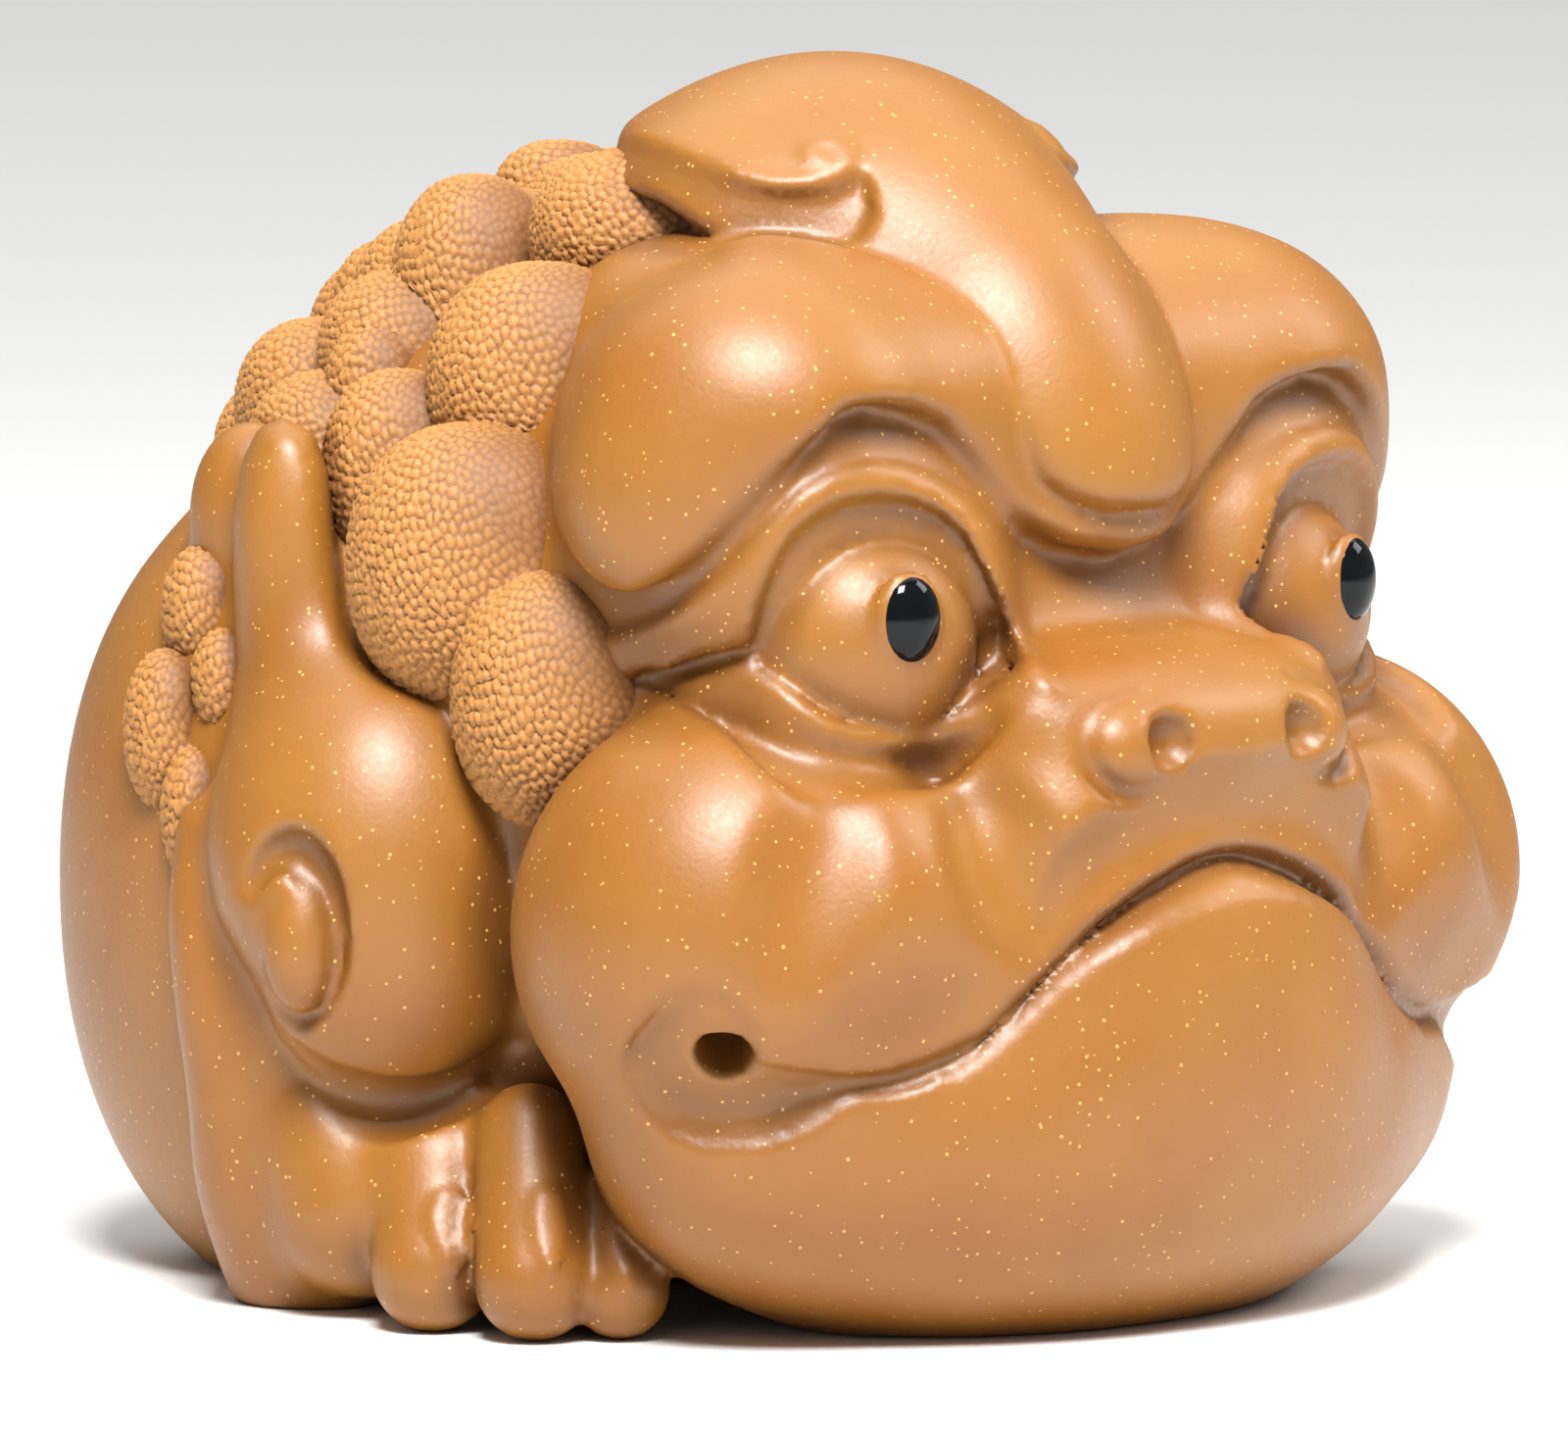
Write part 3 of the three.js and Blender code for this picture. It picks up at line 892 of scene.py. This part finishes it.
# Golden stoneware, thrown unglazed, burnished by hand before one firing: a soft silky gloss
# over a grainy body, with pale sand grains showing and painted shade darkening the hollows
burnished = {
    "clay": "#8e5c1e", "warmClay": "#865215", "paintedShade": "#5c3410", "sand": "#c4944e",
    "roughness": 0.43, "sandSize": 0.19, "sandSpacing": 0.62,  # mm
}


def burnishedStoneware():
    material, tree = newMaterial("burnished golden stoneware")
    place = node(tree, "ShaderNodeTexCoord").outputs["Object"]
    mottle = node(tree, "ShaderNodeTexNoise", Vector=place, Scale=1 / 0.014, Detail=4.0).outputs["Fac"]
    mottled = node(tree, "ShaderNodeMapRange", Value=mottle, From_Min=0.35, From_Max=0.65).outputs[0]
    base = node(tree, "ShaderNodeMix", {"data_type": "RGBA"}, i0=mottled,
                i6=toLinear(burnished["warmClay"]), i7=toLinear(burnished["clay"])).outputs[2]
    # painted shade: the stored attribute darkens the hollows towards the dark shade colour
    paintedShade = node(tree, "ShaderNodeAttribute", {"attribute_name": "paintedShade"}).outputs["Fac"]
    shadeWeight = node(tree, "ShaderNodeMapRange", Value=paintedShade, From_Min=0.1, From_Max=0.9, To_Max=0.75).outputs[0]
    shaded = node(tree, "ShaderNodeMix", {"data_type": "RGBA"}, i0=shadeWeight, i6=base, i7=toLinear(burnished["paintedShade"])).outputs[2]
    cells = node(tree, "ShaderNodeTexVoronoi", Vector=place, Scale=1000 / burnished["sandSpacing"])
    radius = burnished["sandSize"] / 2 / burnished["sandSpacing"]
    pick = node(tree, "ShaderNodeSeparateColor", Color=cells.outputs["Color"])
    size = node(tree, "ShaderNodeMapRange", Value=pick.outputs[0], From_Min=0.28, From_Max=1.0, To_Max=radius * 1.35).outputs[0]
    inGrain = node(tree, "ShaderNodeMath", {"operation": "LESS_THAN"}, i0=cells.outputs["Distance"], i1=size).outputs[0]
    color = node(tree, "ShaderNodeMix", {"data_type": "RGBA"}, i0=inGrain, i6=shaded, i7=toLinear(burnished["sand"])).outputs[2]
    grit = node(tree, "ShaderNodeTexNoise", Vector=place, Scale=1 / 0.0004, Detail=3.0).outputs["Fac"]
    rough = node(tree, "ShaderNodeMapRange", Value=grit, To_Min=burnished["roughness"] - 0.06, To_Max=burnished["roughness"] + 0.08).outputs[0]
    grain = node(tree, "ShaderNodeBump", Height=grit, Strength=0.35, Distance=0.00006).outputs[0]
    shader = node(tree, "ShaderNodeBsdfPrincipled", Base_Color=color, Roughness=rough, IOR=1.5, Specular_IOR_Level=0.55,
                  Normal=grain)
    node(tree, "ShaderNodeOutputMaterial", Surface=shader.outputs[0])
    return material


# The same clay on the warts, stippled with a blunt tool and not burnished: matte, a little paler, with the gap colour
# as painted shade in the gaps between pebbles and in the hollows
stippled = {"clay": "#a8743a", "gap": "#613814", "roughness": 0.62}


def stippledStoneware():
    material, tree = newMaterial("stippled matte stoneware")
    place = node(tree, "ShaderNodeTexCoord").outputs["Object"]
    high = node(tree, "ShaderNodeAttribute", {"attribute_name": "pebble"}).outputs["Fac"]
    # painted shade between the pebbles: the low points of the stipple take the dark gap colour
    lit = node(tree, "ShaderNodeMapRange", Value=high, From_Max=0.5, To_Min=0.12).outputs[0]
    tone = node(tree, "ShaderNodeMix", {"data_type": "RGBA"}, i0=lit, i6=toLinear(stippled["gap"]), i7=toLinear(stippled["clay"])).outputs[2]
    # painted shade in the hollows, from the stored attribute
    paintedShade = node(tree, "ShaderNodeAttribute", {"attribute_name": "paintedShade"}).outputs["Fac"]
    shadeWeight = node(tree, "ShaderNodeMapRange", Value=paintedShade, From_Min=0.2, To_Max=0.6).outputs[0]
    color = node(tree, "ShaderNodeMix", {"data_type": "RGBA"}, i0=shadeWeight, i6=tone, i7=toLinear(stippled["gap"])).outputs[2]
    grit = node(tree, "ShaderNodeTexNoise", Vector=place, Scale=1 / 0.0003, Detail=3.0).outputs["Fac"]
    grain = node(tree, "ShaderNodeBump", Height=grit, Strength=0.4, Distance=0.00005).outputs[0]
    shader = node(tree, "ShaderNodeBsdfPrincipled", Base_Color=color, Roughness=stippled["roughness"], IOR=1.5, Normal=grain)
    node(tree, "ShaderNodeOutputMaterial", Surface=shader.outputs[0])
    return material


# Small ceramic bead, dipped in black glaze and fired: near black with a hard clear gloss
beadGlaze = {"black": "#050608", "edge": "#0d1013", "roughness": 0.06}


def blackGlaze():
    material, tree = newMaterial("black glaze on ceramic")
    place = node(tree, "ShaderNodeTexCoord").outputs["Object"]
    cloud = node(tree, "ShaderNodeTexNoise", Vector=place, Scale=1 / 0.002, Detail=2.0).outputs["Fac"]
    color = node(tree, "ShaderNodeMix", {"data_type": "RGBA"}, i0=cloud, i6=toLinear(beadGlaze["black"]), i7=toLinear(beadGlaze["edge"])).outputs[2]
    shader = node(tree, "ShaderNodeBsdfPrincipled", Base_Color=color, Roughness=beadGlaze["roughness"], IOR=1.5, Specular_IOR_Level=0.22)
    node(tree, "ShaderNodeOutputMaterial", Surface=shader.outputs[0])
    return material


def dress(piece, material):
    piece.data.materials.clear()
    piece.data.materials.append(material)
    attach(piece, "root")


# Studio: a white sweep, a large soft light above and to the left, a fainter one on the right
studio = {
    "floor": "#e6e6e4", "world": "#ffffff", "worldStrength": 0.25,
    "lights": [
        # name, place in mm, size in mm, watts, where it points if not at the toad
        ("key softbox", (-270, -300, 640), 260, 12.3, None),
        ("side softbox", (380, -260, 420), 240, 1.5, None),
        ("overhead softbox", (700, 1000, 2200), 3000, 46, (700, 1000, 0)),
    ],
}


def makeStudio():
    bpy.ops.mesh.primitive_plane_add(size=8)
    floor = bpy.context.object
    floor.name = "floor"
    material, tree = newMaterial("matt white paper sweep")
    place = node(tree, "ShaderNodeTexCoord").outputs["Object"]
    pulp = node(tree, "ShaderNodeTexNoise", Vector=place, Scale=40.0, Detail=2.0).outputs["Fac"]
    rough = node(tree, "ShaderNodeMapRange", Value=pulp, To_Min=0.85, To_Max=0.95).outputs[0]
    shader = node(tree, "ShaderNodeBsdfPrincipled", Base_Color=toLinear(studio["floor"]), Roughness=rough, Specular_IOR_Level=0.1)
    node(tree, "ShaderNodeOutputMaterial", Surface=shader.outputs[0])
    floor.data.materials.append(material)
    scene = bpy.context.scene
    world = bpy.data.worlds.new("studio")
    world.use_nodes = True
    world.node_tree.nodes["Background"].inputs["Color"].default_value = toLinear(studio["world"])
    world.node_tree.nodes["Background"].inputs["Strength"].default_value = studio["worldStrength"]
    scene.world = world
    aim = Vector(photo["aim"]) * mm
    for name, place, size, watts, target in studio["lights"]:
        lamp = bpy.data.lights.new(name, "AREA")
        lamp.size = size * mm
        lamp.energy = watts
        holder = bpy.data.objects.new(name, lamp)
        holder.location = Vector(place) * mm
        toward = Vector(target) * mm if target else aim
        holder.rotation_euler = (toward - holder.location).to_track_quat("-Z", "Y").to_euler()
        scene.collection.objects.link(holder)
    camera = bpy.data.cameras.new("camera")
    camera.sensor_width = 36
    camera.lens = 36 * focalPixels / photo["width"]
    camera.clip_start, camera.clip_end = 0.01, 20
    holder = bpy.data.objects.new("camera", camera)
    holder.matrix_world = Matrix(np.column_stack([rightWay, upWay, backWay]).tolist()).to_4x4()
    holder.location = Vector(cameraPoint) * mm
    scene.collection.objects.link(holder)
    scene.camera = holder
    scene.view_settings.view_transform = "Standard"


body = makeBody()
clay = burnishedStoneware()
dress(body, clay)
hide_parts("toad_body")
wartClay = stippledStoneware()
for piece in makeWarts():
    dress(piece, wartClay)
glaze = blackGlaze()
for name, side, cadNode in (("bead_right", -1, "pupil_right"), ("bead_left", 1, "pupil_left")):
    bead = makeBead(name, side)
    dress(bead, glaze)
    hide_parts(cadNode)
makeStudio()
report("studio")
